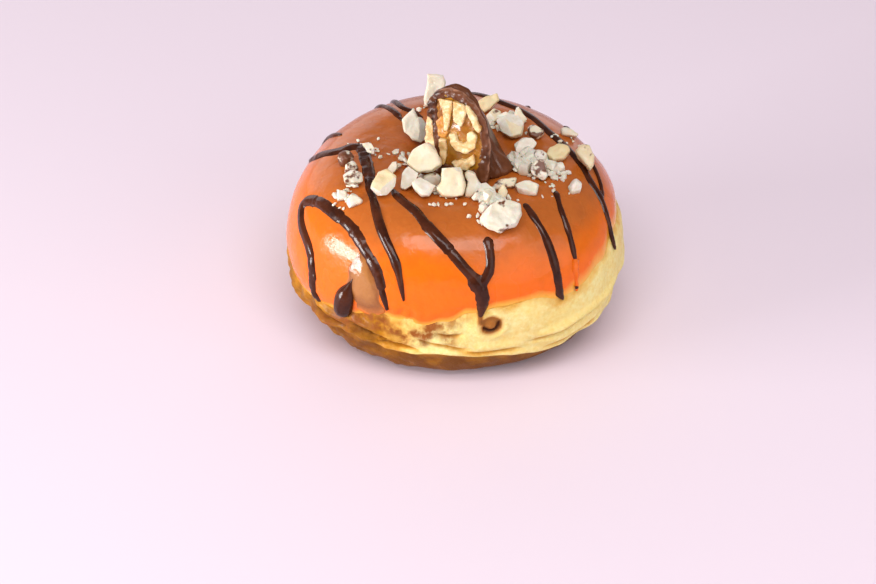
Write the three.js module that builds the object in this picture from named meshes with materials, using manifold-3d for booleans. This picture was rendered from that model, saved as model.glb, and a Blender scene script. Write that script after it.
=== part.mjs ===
// Ring doughnut: an iced ring of fried dough with chocolate drizzle, chopped nuts
// and a cut piece of chocolate bar standing over its small hole. Millimetres, +Z up,
// +X to the viewer's right, -Y towards the viewer.
import * as THREE from 'three';
import Module from 'manifold-3d';

const wasm = await Module();
wasm.setup();

// ---- driving sizes ----
const CREST_RADIUS = 24;      // where the ring is highest
const OUTER_RADIUS = 46.2;    // widest reach of the iced ring, on average
const HOLE_RADIUS = 6;        // narrowest part of the hole
const WAIST_Z = 23.6;         // height of the widest part
const RISE = 26.85;           // from the waist to the crest
const ICING = 1.0;            // icing thickness
const GAP = 0.35;             // air left between two pieces that touch
const RING_STEPS = 48;

const rad = THREE.MathUtils.degToRad;
const smooth = THREE.MathUtils.smoothstep;
const root = new THREE.Group();

const MATERIALS = {
  dough: new THREE.MeshStandardMaterial({ color: 0xe3b266, roughness: 0.75 }),
  caramel_icing: new THREE.MeshStandardMaterial({ color: 0xd0661c, roughness: 0.2 }),
  dark_chocolate: new THREE.MeshStandardMaterial({ color: 0x35170f, roughness: 0.25 }),
  nut: new THREE.MeshStandardMaterial({ color: 0xeadfc4, roughness: 0.6 }),
  milk_chocolate: new THREE.MeshStandardMaterial({ color: 0x6b3a22, roughness: 0.35 }),
  caramel: new THREE.MeshStandardMaterial({ color: 0xc98a2b, roughness: 0.25 }),
  nougat: new THREE.MeshStandardMaterial({ color: 0xe8cfa0, roughness: 0.8 }),
  peanut: new THREE.MeshStandardMaterial({ color: 0xe9c88b, roughness: 0.55 }),
};

function add(name, geometry, slot) {
  const mesh = new THREE.Mesh(geometry, MATERIALS[slot].clone());
  mesh.material.name = slot;
  mesh.name = name;
  root.add(mesh);
}

// ---- the ring's outer surface ----
// angle goes round the ring (0 = right, -90 = front); turn goes round its section
// (0 = outer waist, 90 = crest, 180 = hole wall, -90 = underside).
function reach(angle) {
  const a = rad(angle);
  const swell = 0.024 * Math.cos(2 * a) - 0.01 * Math.sin(2 * a) - 0.022 * Math.sin(3 * a);
  return OUTER_RADIUS * (1 + swell);
}

function section(angle, turn) {
  const c = Math.cos(rad(turn));
  const s = Math.sin(rad(turn));
  const r = c > 0
    ? CREST_RADIUS + (reach(angle) - CREST_RADIUS) * c ** (s > 0 ? 0.81 : 0.735)
    : CREST_RADIUS - (CREST_RADIUS - HOLE_RADIUS) * (-c) ** 0.4;
  const z = s > 0
    ? WAIST_Z + RISE * s ** 0.96
    : Math.max(0, WAIST_Z - (WAIST_Z + 0.5) * (-s) ** 0.987);
  return new THREE.Vector2(r, z);
}

function skin(angle, turn, lift = 0) {
  const here = section(angle, turn);
  const along = section(angle, turn + 0.5).sub(section(angle, turn - 0.5)).normalize();
  const onBase = here.y <= 0;   // the ring stands on a flat band
  if (!onBase) here.addScaledVector(new THREE.Vector2(along.y, -along.x), lift);
  return new THREE.Vector3(
    here.x * Math.cos(rad(angle)), here.x * Math.sin(rad(angle)), Math.max(0, here.y));
}

// Where a plan position lies on the surface, as an angle and a turn.
function turnAt(x, y) {
  const angle = THREE.MathUtils.radToDeg(Math.atan2(y, x));
  const r = Math.hypot(x, y);
  const c = r > CREST_RADIUS
    ? ((r - CREST_RADIUS) / (reach(angle) - CREST_RADIUS)) ** (1 / 0.81)
    : -Math.min(0.6, ((CREST_RADIUS - r) / (CREST_RADIUS - HOLE_RADIUS)) ** (1 / 0.4));
  return [angle, THREE.MathUtils.radToDeg(Math.acos(c))];
}

// How far down the outside the icing runs, as [angle, turn].
const ICING_EDGE = [
  [-180, -4], [-156, -13], [-131, -7], [-112, 1], [-93, 2], [-75, 11], [-52, 8], [-30, 17],
  [-8, 23], [20, 16], [60, 5], [100, 10], [140, 3], [180, -4],
];
function icingEdge(angle) {
  const a = THREE.MathUtils.euclideanModulo(angle + 180, 360) - 180;
  const k = ICING_EDGE.findIndex((stop) => stop[0] > a);
  const [a0, t0] = ICING_EDGE[k - 1];
  const [a1, t1] = ICING_EDGE[k];
  return THREE.MathUtils.lerp(t0, t1, smooth(a, a0, a1));
}

// A ring-shaped body: spot(angle, j) gives each of its n corners round the section.
function ringBody(n, spot) {
  const corners = Array.from({ length: n + 1 }, () => new THREE.Vector2(1, 0));
  const body = new THREE.LatheGeometry(corners, RING_STEPS);
  for (let i = 0; i <= RING_STEPS; i++) {
    for (let j = 0; j <= n; j++) {
      const p = spot(((i % RING_STEPS) / RING_STEPS) * 360, j % n);
      body.attributes.position.setXYZ(i * (n + 1) + j, p.x, p.y, p.z);
    }
  }
  return body;
}

const DOUGH_TURNS = [
  -82, -68, -55, -42, -30, -18, -6, 6, 18, 30, 42, 54, 66, 78, 90, 93, 100, 108, 116, 126,
  138, 155, 180, 205, 222, 236, 247, 256, 264,
];
add('dough', ringBody(DOUGH_TURNS.length, (angle, j) => {
  const turn = DOUGH_TURNS[j];
  const below = 1 - smooth(turn, icingEdge(angle) - 18, icingEdge(angle) - 3);
  return skin(angle, turn, turn < 90 ? -(ICING + GAP) + below : -(ICING + GAP));
}), 'dough');

const ICING_HALF = 14;        // corners along the icing's top face
const ICING_INNER_TURN = 140; // it runs a little way into the hole
add('caramel_icing', ringBody(2 * ICING_HALF, (angle, j) => {
  const upper = j < ICING_HALF;
  const t = (upper ? j : 2 * ICING_HALF - 1 - j) / (ICING_HALF - 1);
  const crest = 8 / (ICING_HALF - 1);
  const turn = t < crest
    ? THREE.MathUtils.lerp(icingEdge(angle), 90, t / crest)
    : THREE.MathUtils.lerp(90, ICING_INNER_TURN, (t - crest) / (1 - crest));
  const thin = t === 0 || t === 1 ? 0.35 : 0;
  return skin(angle, turn, upper ? -thin : -ICING + thin / 2);
}), 'caramel_icing');

// ---- lofted bodies ----
// sections are rings of the same number of points, one after another, running
// anticlockwise when looked at from the first one's side.
function loft(sections) {
  const spans = sections.length - 1;
  const sides = sections[0].length;
  const body = new THREE.CylinderGeometry(1, 1, spans, sides, spans);
  const at = body.attributes.position;
  for (let i = 0; i < at.count; i++) {
    const ring = sections[Math.round(spans / 2 - at.getY(i))];
    const round = Math.atan2(at.getX(i), at.getZ(i)) / (2 * Math.PI);
    const middle = ring.reduce((sum, p) => sum.add(p), new THREE.Vector3()).divideScalar(sides);
    const onRim = Math.hypot(at.getX(i), at.getZ(i)) > 0.5;
    const p = onRim ? ring[(Math.round(round * sides) + sides) % sides] : middle;
    at.setXYZ(i, p.x, p.y, p.z);
  }
  return body;
}

const solid = (geometry) => {
  const plain = new THREE.BufferGeometry().setAttribute('position',
    (geometry.index ? geometry.toNonIndexed() : geometry).getAttribute('position'));
  const mesh = new wasm.Mesh({
    numProp: 3,
    vertProperties: plain.attributes.position.array,
    triVerts: Uint32Array.from({ length: plain.attributes.position.count }, (_, i) => i),
  });
  mesh.merge();
  return new wasm.Manifold(mesh);
};
const geometryOf = (body) => {
  const mesh = body.getMesh();
  return new THREE.BufferGeometry()
    .setAttribute('position', new THREE.BufferAttribute(mesh.vertProperties, 3))
    .setIndex(new THREE.BufferAttribute(mesh.triVerts, 1));
};

// ---- chocolate drizzle: strands laid on the icing ----
const STRAND_SECTION = [[-0.8, 0], [-1, 0.45], [-0.5, 1], [0.5, 1], [1, 0.45], [0.8, 0]];
const STRAND_STEP = 4.5;

// path is a list of [angle, turn]; wide is the half width, high the thickness.
function strand(path, wide = 1.0, high = 0.9) {
  const line = new THREE.CatmullRomCurve3(path.map(([a, t]) => new THREE.Vector3(a, t, 0)));
  const at = (u, lift) => {
    const p = line.getPoint(THREE.MathUtils.clamp(u, 0, 1));
    return skin(p.x, p.y, lift);
  };
  let length = 0;
  for (let i = 0; i < 60; i++) length += at(i / 60, 0).distanceTo(at((i + 1) / 60, 0));
  const steps = Math.round(length / STRAND_STEP);
  const sections = [];
  for (let i = 0; i <= steps; i++) {
    const u = i / steps;
    const end = i === 0 || i === steps ? 0.5 : 1;
    const ahead = at(u + 0.01, 0).sub(at(u - 0.01, 0)).normalize();
    const up = at(u, 1).sub(at(u, 0)).normalize();
    const side = new THREE.Vector3().crossVectors(up, ahead).normalize();
    const base = at(u, GAP);
    sections.push(STRAND_SECTION.map(([s, h]) => base.clone()
      .addScaledVector(side, s * wide * end).addScaledVector(up, h * high * end)));
  }
  return loft(sections);
}

const LEFT_LOOP = [
  [-143, -8], [-146, 0], [-147, 11], [-151, 23], [-161, 31], [-166, 40], [-158, 51],
  [-146, 54], [-136, 52], [-128, 44], [-120, 31], [-116, 17], [-114, 7],
];
const SHOULDER_LEFT = [
  [-190, 46], [-186, 62], [-186, 77], [-179, 87], [-167, 88], [-143, 81], [-128, 68],
  [-116, 50], [-110, 35], [-107, 18],
];
const FRONT_LONG = [
  [-135, 90], [-114, 82], [-103, 69], [-94, 55], [-87, 41], [-81, 28], [-80, 17], [-81, 10],
];
const FRONT_SHORT = [[-76, 61], [-76, 48], [-77, 37], [-81, 26]];
const FRONT_RIGHT = [[-51, 80], [-52, 68], [-52, 52], [-52, 34], [-52, 15], [-51, 8]];
const RIGHT = [[-31, 76], [-38, 64], [-42, 46], [-44, 27]];
const FAR_RIGHT = [
  [92, 30], [88, 48], [80, 64], [66, 76], [48, 79], [26, 81], [8, 75], [-9, 62], [-16, 47],
  [-21, 30], [-22, 15],
];
const FAR_RIGHT_BRANCH = [[4, 59], [-5, 53], [-15, 46]];

add('drizzle_left_loop', strand(LEFT_LOOP, 1.15), 'dark_chocolate');
add('drizzle_bead', strand([[-131, 31], [-130, 22], [-129, 12], [-130, 4]], 1.9, 1.5),
  'dark_chocolate');
add('drizzle_shoulder_left', strand(SHOULDER_LEFT, 1.1), 'dark_chocolate');
add('drizzle_front_v',
  geometryOf(solid(strand(FRONT_LONG, 1.2)).add(solid(strand(FRONT_SHORT, 1.2)))),
  'dark_chocolate');
add('drizzle_front_right', strand(FRONT_RIGHT), 'dark_chocolate');
add('drizzle_right', strand(RIGHT, 0.9), 'dark_chocolate');
add('drizzle_far_right',
  geometryOf(solid(strand(FAR_RIGHT)).add(solid(strand(FAR_RIGHT_BRANCH, 0.6, 0.7)))),
  'dark_chocolate');
add('drizzle_back_left_a', strand([[114, 30], [117, 48], [120, 66], [122, 84], [117, 91]]),
  'dark_chocolate');
add('drizzle_back_left_b', strand([[124, 28], [125, 48], [127, 64], [129, 85], [132, 91]]),
  'dark_chocolate');
add('drizzle_back_a', strand([[63, 22], [61, 40], [55, 58]]), 'dark_chocolate');
add('drizzle_back_b', strand([[37, 20], [36, 40], [32, 60]]), 'dark_chocolate');
add('drizzle_back_c', strand([[150, 24], [153, 46], [159, 68]]), 'dark_chocolate');

// ---- chopped nuts ----
// Moves each corner a little by where it is, so shared corners stay together.
function roughen(geometry, seed, amount) {
  const at = geometry.attributes.position;
  for (let i = 0; i < at.count; i++) {
    const p = new THREE.Vector3().fromBufferAttribute(at, i);
    const k = 1 + amount * Math.sin(5.1 * p.x + 3.7 * p.z + seed) *
      Math.cos(4.3 * p.y - 2.9 * p.z + 2 * seed);
    at.setXYZ(i, p.x * k, p.y * k, p.z * k);
  }
  return geometry;
}

const SHAPES = {
  half: () => {               // half a kernel: domed, with a flatter underside
    const g = new THREE.SphereGeometry(0.5, 10, 6).rotateX(Math.PI / 2);
    const at = g.attributes.position;
    for (let i = 0; i < at.count; i++) at.setZ(i, Math.max(at.getZ(i), -0.22));
    return g;
  },
  slab: () => new THREE.CylinderGeometry(0.44, 0.5, 1, 7).rotateX(Math.PI / 2),
  chip: () => new THREE.CylinderGeometry(0.34, 0.5, 1, 5).rotateX(Math.PI / 2),
  chunk: () => new THREE.IcosahedronGeometry(0.5, 0),
};

// Plan place of its middle, size along its own x, y and z, shape, spin about its own
// upright, lift above the icing, lean towards the viewer.
const NUTS = [
  [-12, 9.2, 7.2, 5.6, 7.2, 'chunk', 20, 0, 0],
  [-8.7, -11.6, 6.8, 4.4, 5.8, 'half', 10, 3.6, 20],
  [-12.4, -15.8, 4.9, 5.2, 5.4, 'chunk', 0, 0, 0],
  [-6.2, -13.9, 4.6, 2.8, 2.8, 'half', 0, 0, 0],
  [-8.4, -19.8, 5.8, 4.2, 3.6, 'slab', 15, 0, 8],
  [-0.8, -18.6, 7.2, 4.8, 6.6, 'half', 0, 0, 0],
  [5.0, -18.2, 3.2, 2.8, 5.4, 'slab', 20, 0, 0],
  [-19.2, -19.5, 5.8, 5.8, 4.4, 'half', 40, 1.4, 0],
  [-17.2, -9.4, 2.4, 4.4, 2.2, 'half', -35, 0, 0],
  [-27.2, -14.8, 5.2, 4.4, 3.4, 'chunk', 10, 1.3, 0],
  [-30.8, -18.2, 3.2, 3.4, 2.4, 'chip', 0, 0, 0],
  [-27.4, -21.2, 4.0, 3.2, 2.4, 'chip', 30, 0, 0],
  [-24.2, -1.8, 3.6, 4.0, 3.4, 'chip', 50, 1.3, 0],
  [-30.0, -3.6, 4.0, 4.0, 3.0, 'half', 0, 0, 0],
  [-28.4, -9.2, 3.4, 2.8, 2.2, 'chip', 80, 0.9, 0],
  [12.4, -31.2, 9.6, 8.6, 3.4, 'slab', 12, 1.3, 0],
  [8.6, -22.6, 3.3, 3.2, 2.4, 'chip', 10, 0, 0],
  [7.6, -27.2, 2.4, 2.4, 1.8, 'chip', 60, 0, 0],
  [12.9, -20.9, 2.0, 4.2, 2.2, 'half', 15, 0, 0],
  [13.2, -16.4, 5.4, 2.2, 2.0, 'half', -10, 0, 0],
  [19.4, -18.2, 5.6, 3.4, 2.2, 'slab', 12, 0, 0],
  [15.4, 9.4, 6.6, 5.4, 6.0, 'chunk', 30, 0, 0],
  [18.2, 15.6, 3.6, 3.4, 4.6, 'chip', 75, 0, 0],
  [9.4, 22.6, 5.8, 4.6, 4.2, 'half', 35, 0, 0],
  [10.8, 16.8, 5.0, 3.8, 2.6, 'slab', 20, 0, 0],
  [22.2, 9.0, 3.9, 3.4, 2.6, 'chip', 5, 0, 0],
  [28.2, -1.7, 5.4, 4.6, 3.2, 'half', 20, 0, 0],
  [35.4, -2.9, 4.8, 5.4, 3.6, 'half', 70, 1.7, 0],
  [31.6, 12.2, 4.4, 2.6, 2.2, 'slab', -35, 0, 0],
  [19.4, 1.2, 5.2, 4.0, 3.4, 'half', 0, 0, 0],
  [23.6, -4.2, 3.6, 3.4, 3.2, 'chip', 25, 0, 0],
  [22.8, -11.0, 5.2, 4.8, 3.6, 'chunk', 0, 0, 0],
  [18.6, -9.2, 3.2, 3.0, 2.6, 'chip', 40, 0, 0],
  [28.4, -8.2, 3.7, 3.0, 2.2, 'chip', 15, 0, 0],
  [32.4, -13.8, 4.2, 3.2, 2.4, 'chip', 60, 0, 0],
  [-6.2, 24.2, 5.2, 1.6, 10.4, 'slab', 8, 0.2, 0],
];

NUTS.forEach(([x, y, w, d, h, shape, spin, lift, lean], i) => {
  const nut = roughen(SHAPES[shape](), i * 1.7, shape === 'chip' ? 0.16 : 0.1);
  nut.computeBoundingBox();
  const size = nut.boundingBox.getSize(new THREE.Vector3());
  nut.translate(0, 0, -nut.boundingBox.min.z);
  nut.scale(w / size.x, d / size.y, h / size.z);
  nut.rotateZ(rad(spin));
  nut.rotateX(rad(lean));
  const [angle, turn] = turnAt(x, y);
  const up = skin(angle, turn, 1).sub(skin(angle, turn, 0));
  const standing = shape === 'slab' && h > 2 * w * 0.9;
  const tilt = new THREE.Quaternion().setFromUnitVectors(
    new THREE.Vector3(0, 0, 1), standing ? new THREE.Vector3(0, 0, 1) : up.normalize());
  nut.applyQuaternion(tilt);
  const spot = skin(angle, turn, GAP + lift + (d / 2) * Math.sin(rad(lean)));
  nut.translate(x, y, spot.z);
  add(`nut_${String(i + 1).padStart(2, '0')}`, nut, 'nut');
});

// ---- the cut piece of bar, standing on the icing over the hole ----
// Its own directions: u along the cut face, v away from the viewer, w up the face,
// which leans back.
const BAR_FOOT = new THREE.Vector3(6.2, -15.6, 50.2);
const BAR_ROUND = rad(-26);
const BAR_LEAN = rad(14);
const U = new THREE.Vector3(Math.cos(BAR_ROUND), Math.sin(BAR_ROUND), 0);
const V = new THREE.Vector3(-U.y, U.x, 0);
const W = new THREE.Vector3(0, 0, Math.cos(BAR_LEAN)).addScaledVector(V, Math.sin(BAR_LEAN));
const inBar = (u, v, w) => BAR_FOOT.clone()
  .addScaledVector(U, u).addScaledVector(V, v).addScaledVector(W, w);

// Outlines [u, w] of the coat at five depths, from the cut face to the back.
const COAT = [
  [0, [[-17.2, 0.7], [-17.6, 12], [-17.6, 21.5], [-15.8, 24], [-12, 25.4], [-7.5, 25],
    [-4.3, 22.6], [-1.2, 19], [0.6, 13], [0.8, 6], [0.3, 0.7]]],
  [4, [[-17.4, 0.7], [-17.6, 12], [-17, 20.5], [-15, 23.6], [-11.5, 25.4], [-8, 24.6],
    [-5.9, 22.2], [-3.2, 16.5], [-0.6, 10], [2, 4.5], [4.2, 0.7]]],
  [10, [[-16.8, 0.7], [-16.6, 8], [-15.5, 13], [-13, 16], [-10, 17], [-6.5, 16.5],
    [-3.5, 14], [-0.5, 10], [2.4, 5.9], [4.6, 3], [6.1, 0.7]]],
  [16, [[-15.5, 0.7], [-15, 5], [-13.5, 9], [-11.5, 11], [-9, 12], [-6, 12], [-3.5, 10.6],
    [-1, 8], [0.8, 5.4], [2, 3], [2.8, 0.7]]],
  [20, [[-13.5, 0.7], [-13, 2], [-12, 3.2], [-10.5, 4], [-8.5, 4.4], [-6, 4.4],
    [-4.5, 4], [-3, 3.4], [-1.8, 2.6], [-1, 1.6], [-0.6, 0.7]]],
];
const coatBlock = loft(
  COAT.map(([v, ring]) => ring.map(([u, w]) => inBar(u, v, w))).reverse());

// A filling behind the cut face, narrowing to the back as the coat does, and grown by
// a margin where it is a pocket.
function filling(ring, front, back, grow = 0) {
  const mu = ring.reduce((sum, p) => sum + p[0], 0) / ring.length;
  const mw = ring.reduce((sum, p) => sum + p[1], 0) / ring.length;
  const wider = ring.map(([u, w]) => {
    const k = 1 + (1.25 * grow) / Math.hypot(u - mu, w - mw);
    return [mu + (u - mu) * k, mw + (w - mw) * k];
  });
  return solid(loft([back, front].map((v) => wider.map(([u, w]) => inBar(u, v, w)))));
}
const CARAMEL = [
  [-12, 3], [-13.4, 9], [-14.5, 14.5], [-15.5, 18.5], [-15.6, 22], [-10.8, 23.4],
  [-7.7, 22.8], [-5, 20.3], [-2.5, 17.3], [-1.2, 10.8], [-2, 7], [-3, 3],
];
const NOUGAT = [
  [-16.4, 3], [-16.9, 9.7], [-16.9, 16], [-15.9, 15], [-14.8, 10], [-13.3, 3],
];
const coat = solid(coatBlock)
  .subtract(filling(CARAMEL, -0.1, 4.6, GAP))
  .subtract(filling(NOUGAT, -0.1, 4.6, 0.2));
add('bar_chocolate_coat', geometryOf(coat), 'milk_chocolate');
add('bar_nougat', geometryOf(filling(NOUGAT, 0, 4.2, -0.12)), 'nougat');

// Peanuts let into the caramel's cut face: middle and half sizes [u, w], tilt.
const KERNELS = [
  [-12.3, 19.4, 1.5, 3.2, 4],
  [-8.1, 19.8, 1.5, 3.0, -6],
  [-12.2, 14.6, 1.4, 1.9, -20],
  [-11.3, 8.6, 1.0, 2.8, 0],
  [-5.4, 6.9, 2.9, 1.5, 18],
];
function kernel([u, w, halfU, halfW, tilt], grow = 0) {
  const g = new THREE.SphereGeometry(1, 10, 6);
  g.scale(halfU + grow, 1.3 + grow, halfW + grow).rotateY(rad(tilt));
  g.applyMatrix4(new THREE.Matrix4().makeBasis(U, V, W).setPosition(inBar(u, 0.6, w)));
  return solid(g);
}
// The one cut lengthways shows as a U.
function curledKernel(grow = 0) {
  const rings = [];
  for (let i = 0; i <= 6; i++) {
    const a = rad(168 + 34 * i);
    const end = i === 0 || i === 6 ? 0.6 : 1;
    const out = new THREE.Vector3().addScaledVector(U, Math.cos(a)).addScaledVector(W, Math.sin(a));
    const middle = inBar(-6 + 2.55 * Math.cos(a), 0.5, 13.2 + 2.4 * Math.sin(a));
    rings.push(Array.from({ length: 6 }, (_, k) => middle.clone()
      .addScaledVector(out, -(1.15 * end + grow) * Math.cos((k * Math.PI) / 3))
      .addScaledVector(V, (1.2 * end + grow) * Math.sin((k * Math.PI) / 3))));
  }
  return solid(loft(rings));
}

let caramel = filling(CARAMEL, 0, 4.2);
KERNELS.forEach((k, i) => {
  caramel = caramel.subtract(kernel(k, GAP));
  add(`bar_peanut_${i + 1}`, geometryOf(kernel(k)), 'peanut');
});
caramel = caramel.subtract(curledKernel(GAP));
add('bar_peanut_6', geometryOf(curledKernel()), 'peanut');
add('bar_caramel', geometryOf(caramel), 'caramel');

// ---- origin: middle of the plan box, on the resting plane ----
const box = new THREE.Box3().setFromObject(root, true);
root.position.set(-(box.min.x + box.max.x) / 2, -(box.min.y + box.max.y) / 2, -box.min.z);

export default root;
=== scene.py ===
import functools
import math
import random

import bmesh
import bpy
from mathutils import Matrix, Vector, noise


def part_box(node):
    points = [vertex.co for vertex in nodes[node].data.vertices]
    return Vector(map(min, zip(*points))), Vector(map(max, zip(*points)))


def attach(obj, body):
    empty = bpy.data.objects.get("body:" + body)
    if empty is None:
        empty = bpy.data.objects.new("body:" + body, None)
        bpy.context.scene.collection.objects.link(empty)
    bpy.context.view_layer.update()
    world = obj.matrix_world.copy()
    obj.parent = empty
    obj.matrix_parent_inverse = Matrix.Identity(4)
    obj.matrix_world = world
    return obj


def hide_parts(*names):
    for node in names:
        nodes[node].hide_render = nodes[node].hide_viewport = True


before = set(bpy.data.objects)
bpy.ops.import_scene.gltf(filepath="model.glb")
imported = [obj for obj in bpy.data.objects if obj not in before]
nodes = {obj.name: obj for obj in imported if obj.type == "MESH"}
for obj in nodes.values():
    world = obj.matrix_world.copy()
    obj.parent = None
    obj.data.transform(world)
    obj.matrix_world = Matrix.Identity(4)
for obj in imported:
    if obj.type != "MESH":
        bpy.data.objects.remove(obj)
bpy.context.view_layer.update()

# ---------------------------------------------
# Dough ring. One piece of risen dough, fried, so it is brown where it lay in
# the fat and pale in a band round the waist. It rests on its flat underside.
# ---------------------------------------------
# Sizes are in millimetres. Angles go round the ring in degrees from the right (-90 is
# the front), and turns go round its section from the waist (90 is the crest).
MM = 0.001
CREST_RADIUS, OUTER_RADIUS, HOLE_RADIUS = 24.0, 46.2, 6.0
WAIST, RISE = 23.6, 26.85
# How round the section is, above and below the waist, in the hole, over the crown and
# under the belly, which is cut flat.
SHOULDER, HIP, THROAT, CROWN, BELLY = 0.81, 0.735, 0.4, 0.96, 0.987
FLAT_CUT = 0.5
# The ring turns about the middle of its solid's hole.
hole_wall = [v.co for v in nodes["dough"].data.vertices
             if abs(v.co.z - WAIST * MM) < 0.3 * MM and v.co.xy.length < 2 * HOLE_RADIUS * MM]
RING_CENTRE = sum(hole_wall, Vector()) / len(hole_wall)
RING_CENTRE.z = 0.0


def reach(angle):
    """How far the outside is from the middle: the ring is not quite round."""
    a = math.radians(angle)
    return OUTER_RADIUS * (1 + 0.024 * math.cos(2 * a) - 0.01 * math.sin(2 * a)
                           - 0.022 * math.sin(3 * a))


def ring_section(angle, turn):
    """Distance from the middle and height of the outer surface."""
    c, s = math.cos(math.radians(turn)), math.sin(math.radians(turn))
    if c > 0:
        r = CREST_RADIUS + (reach(angle) - CREST_RADIUS) * c ** (SHOULDER if s > 0 else HIP)
    else:
        r = CREST_RADIUS - (CREST_RADIUS - HOLE_RADIUS) * (-c) ** THROAT
    if s > 0:
        return Vector((r, WAIST + RISE * s ** CROWN))
    return Vector((r, max(0.0, WAIST - (WAIST + FLAT_CUT) * (-s) ** BELLY)))


@functools.lru_cache(maxsize=8)
def surface(angle, turn):
    """A point of the ring's outer surface in metres, and the way out of it."""
    here = ring_section(angle, turn)
    along = (ring_section(angle, turn + 0.5) - ring_section(angle, turn - 0.5)).normalized()
    a = math.radians(angle)
    place = RING_CENTRE + Vector((here.x * math.cos(a), here.x * math.sin(a), here.y)) * MM
    out = Vector((along.y * math.cos(a), along.y * math.sin(a), -along.x))
    return place, out if here.y > 0 else Vector()


def skin(angle, turn, lift=0.0):
    """A point lifted off the ring's outer surface by some millimetres."""
    place, out = surface(angle, turn)
    place = place + out * (lift * MM)
    place.z = max(0.0, place.z)
    return place


def even_turns(start, end, count, closed=False, dense=(0, 0)):
    """Turns spaced evenly along the section, twice as close between the dense ones."""
    steps = 720
    fine = [start + (end - start) * k / steps for k in range(steps + 1)]
    run = [0.0]
    for p, q in zip(fine, fine[1:]):
        weight = 2 if dense[0] < p < dense[1] else 1
        run.append(run[-1] + (ring_section(0, q) - ring_section(0, p)).length * weight)
    turns, k = [], 0
    for i in range(count):
        want = run[-1] * i / (count if closed else count - 1)
        while k < steps - 1 and run[k + 1] < want:
            k += 1
        turns.append(fine[k] + (fine[k + 1] - fine[k]) * (want - run[k]) / (run[k + 1] - run[k]))
    return turns


def made_mesh(name, bm, turn_out=False):
    """The mesh of a bmesh that is done with, its faces turned outwards if need be."""
    if turn_out:
        bmesh.ops.recalc_face_normals(bm, faces=bm.faces[:])
    mesh = bpy.data.meshes.new(name)
    bm.to_mesh(mesh)
    bm.free()
    return mesh


def spun_ring(name, steps, corners, spot, *attributes):
    """A grid rolled up into a ring: spot(angle, k) places corner k of its section
    and gives its attributes."""
    bm = bmesh.new()
    layers = [bm.verts.layers.float.new(attribute) for attribute in attributes]
    bmesh.ops.create_grid(bm, x_segments=steps, y_segments=corners, size=0.5)
    for v in bm.verts:
        i, k = round((v.co.x + 0.5) * steps) % steps, round((v.co.y + 0.5) * corners) % corners
        v.co, *values = spot(360 * i / steps - 180, k)
        for layer, value in zip(layers, values):
            v[layer] = value
    bmesh.ops.remove_doubles(bm, verts=bm.verts[:], dist=1e-7)
    return made_mesh(name, bm, turn_out=True)


def smoothstep(x, low, high):
    """From 0 at low to 1 at high, eased at both ends."""
    t = min(1.0, max(0.0, (x - low) / (high - low)))
    return t * t * (3 - 2 * t)


def wave(point, scale, seed=0.0):
    """Smooth noise from -1 to 1 whose lumps are about scale millimetres across."""
    return noise.noise(point / (scale * MM) + Vector((seed, seed * 1.7, -seed)))


# How far down the outside the icing runs, as (angle, turn), and how ragged that edge is.
ICING_EDGE = [(-180, -4), (-156, -13), (-144, -10), (-131, -6), (-119, 2), (-111, 1), (-102, -2),
              (-93, 2), (-85, 7), (-74, 11), (-63, 12), (-52, 8), (-42, 9), (-31, 17), (-20, 22),
              (-7, 23), (20, 16), (60, 5), (100, 10), (140, 3), (180, -4)]
EDGE_RAGGED = 2.6


def icing_edge(angle):
    """The turn at which the icing ends."""
    angle = (angle + 180) % 360 - 180
    for (a0, t0), (a1, t1) in zip(ICING_EDGE, ICING_EDGE[1:]):
        if a0 <= angle <= a1:
            edge = t0 + (t1 - t0) * smoothstep(angle, a0, a1)
            a = math.radians(angle)
            ragged = noise.noise(Vector((math.cos(a), math.sin(a), 0.3)) * 7)
            return edge + EDGE_RAGGED * ragged
    return 0.0


def seam_turn(angle):
    """The turn at which the pale band ends and the fried underside begins."""
    a = math.radians(angle)
    sunk = smoothstep(angle, -85, -55) * (1 - smoothstep(angle, 10, 50))
    return -27 - 7 * sunk + 7 * noise.noise(Vector((math.cos(a), math.sin(a), 4.1)) * 2.2)


# Folds in the band: each runs from one (angle, turn) to another, and is so deep.
FOLDS = [(-66, -19, -14, -8, 1.5), (-60, -29, -24, -22, 1.0), (-106, -12, -82, -19, 1.4),
         (-98, -5, -86, -8, 0.7), (-92, -22, -62, -25, 0.8), (-131, -10, -108, -17, 1.6),
         (-124, -19, -98, -23, 0.9), (-152, -12, -128, -19, 1.5), (-148, -23, -130, -28, 0.9),
         (-20, -14, 12, -6, 0.9), (14, -18, 56, -9, 1.3), (62, -24, 108, -15, 1.0),
         (96, -8, 142, -14, 1.2), (146, -21, 178, -13, 1.1), (-178, -18, -156, -24, 1.0)]


def folded(angle, turn, at):
    """How far folds press the band in here; a roll of dough swells over each of them."""
    depth = 0.0
    for a0, t0, a1, t1, deep in FOLDS:
        along = (angle - a0) / (a1 - a0)
        if 0 < along < 1:
            off = 0.43 * (turn - t0 - (t1 - t0) * along) + 1.1 * wave(at, 7, a0)
            ends = smoothstep(along, 0, 0.3) * (1 - smoothstep(along, 0.7, 1))
            depth += 1.5 * deep * ends * (math.exp(-(off / 0.6) ** 2)
                                          - 0.5 * math.exp(-((off - 2.0) / 1.2) ** 2))
    return depth


DOUGH_STEPS, DOUGH_CORNERS = 380, 190
dough_turns = even_turns(-180, 180, DOUGH_CORNERS, closed=True, dense=(-75, 25))
# The dough lies a little below the icing's skin, and nearly level with it past its edge.
DOUGH_SUNK, DOUGH_SWELLS = 0.95, 0.75
CRATER = skin(-77, 0.5)


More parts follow.
